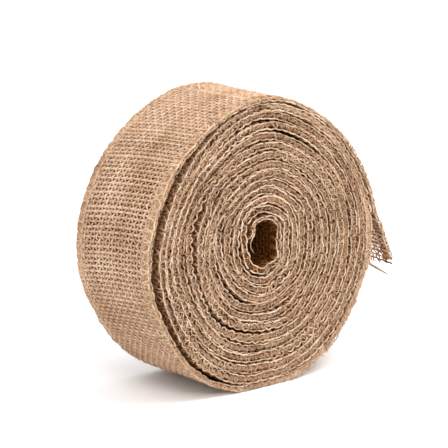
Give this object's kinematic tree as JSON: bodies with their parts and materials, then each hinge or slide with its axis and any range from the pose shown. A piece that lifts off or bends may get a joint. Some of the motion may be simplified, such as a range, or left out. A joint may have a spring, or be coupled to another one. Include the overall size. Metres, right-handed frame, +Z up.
{
  "type": "roll of jute ribbon",
  "caption": "Coreless roll of woven jute ribbon with overlocked edges, wound round an open core and standing on its rim, with a free frayed end that lifts and curls.",
  "frame": {"origin": "middle of the flat under the roll that it stands on, straight under the winding axis", "axes": "+Z up; +Y along the winding axis, from the front face to the rear; +X to the right of someone who faces the front, towards the free end"},
  "size_m": [0.143, 0.05, 0.1249],
  "materials": {
    "jute_web": "coarse natural jute, plain weave",
    "overlock_thread": "spun jute-coloured thread, fuzzy",
    "loose_yarn": "single loose jute yarn"
  },
  "bodies": {
    "coil": {"web_coil": "jute_web", "front_needle_thread_coil": "overlock_thread", "front_upper_looper_coil": "overlock_thread", "front_lower_looper_coil": "overlock_thread", "rear_needle_thread_coil": "overlock_thread", "rear_upper_looper_coil": "overlock_thread", "rear_lower_looper_coil": "overlock_thread", "frayed_core_ends": "jute_web", "core_stray_yarn": "loose_yarn"},
    "outer_flap": {"web_flap": "jute_web", "front_needle_thread_flap": "overlock_thread", "front_upper_looper_flap": "overlock_thread", "front_lower_looper_flap": "overlock_thread", "rear_needle_thread_flap": "overlock_thread", "rear_upper_looper_flap": "overlock_thread", "rear_lower_looper_flap": "overlock_thread"},
    "tail": {"web_tail": "jute_web", "front_needle_thread_tail": "overlock_thread", "front_upper_looper_tail": "overlock_thread", "front_lower_looper_tail": "overlock_thread", "rear_needle_thread_tail": "overlock_thread", "rear_upper_looper_tail": "overlock_thread", "rear_lower_looper_tail": "overlock_thread"},
    "tail_tip": {"web_tip": "jute_web", "front_needle_thread_tip": "overlock_thread", "front_upper_looper_tip": "overlock_thread", "front_lower_looper_tip": "overlock_thread", "rear_needle_thread_tip": "overlock_thread", "rear_upper_looper_tip": "overlock_thread", "rear_lower_looper_tip": "overlock_thread", "frayed_tail_ends": "jute_web", "loose_warp_yarn": "loose_yarn"}
  },
  "joints": [
    {"name": "flap_unroll", "type": "hinge", "parent": "coil", "child": "outer_flap", "pos_m": [0.01808, 0, 0.12279], "axis": [0, -1, 0], "range_deg": [0, 40]},
    {"name": "tail_lift", "type": "hinge", "parent": "outer_flap", "child": "tail", "pos_m": [0.06286, 0, 0.07477], "axis": [0, -1, 0], "range_deg": [-10, 60], "stiffness_Nm_per_rad": 0.003},
    {"name": "tip_curl", "type": "hinge", "parent": "tail", "child": "tail_tip", "pos_m": [0.06739, 0, 0.06246], "axis": [0, -1, 0], "range_deg": [-12, 45], "stiffness_Nm_per_rad": 0.002}
  ]
}
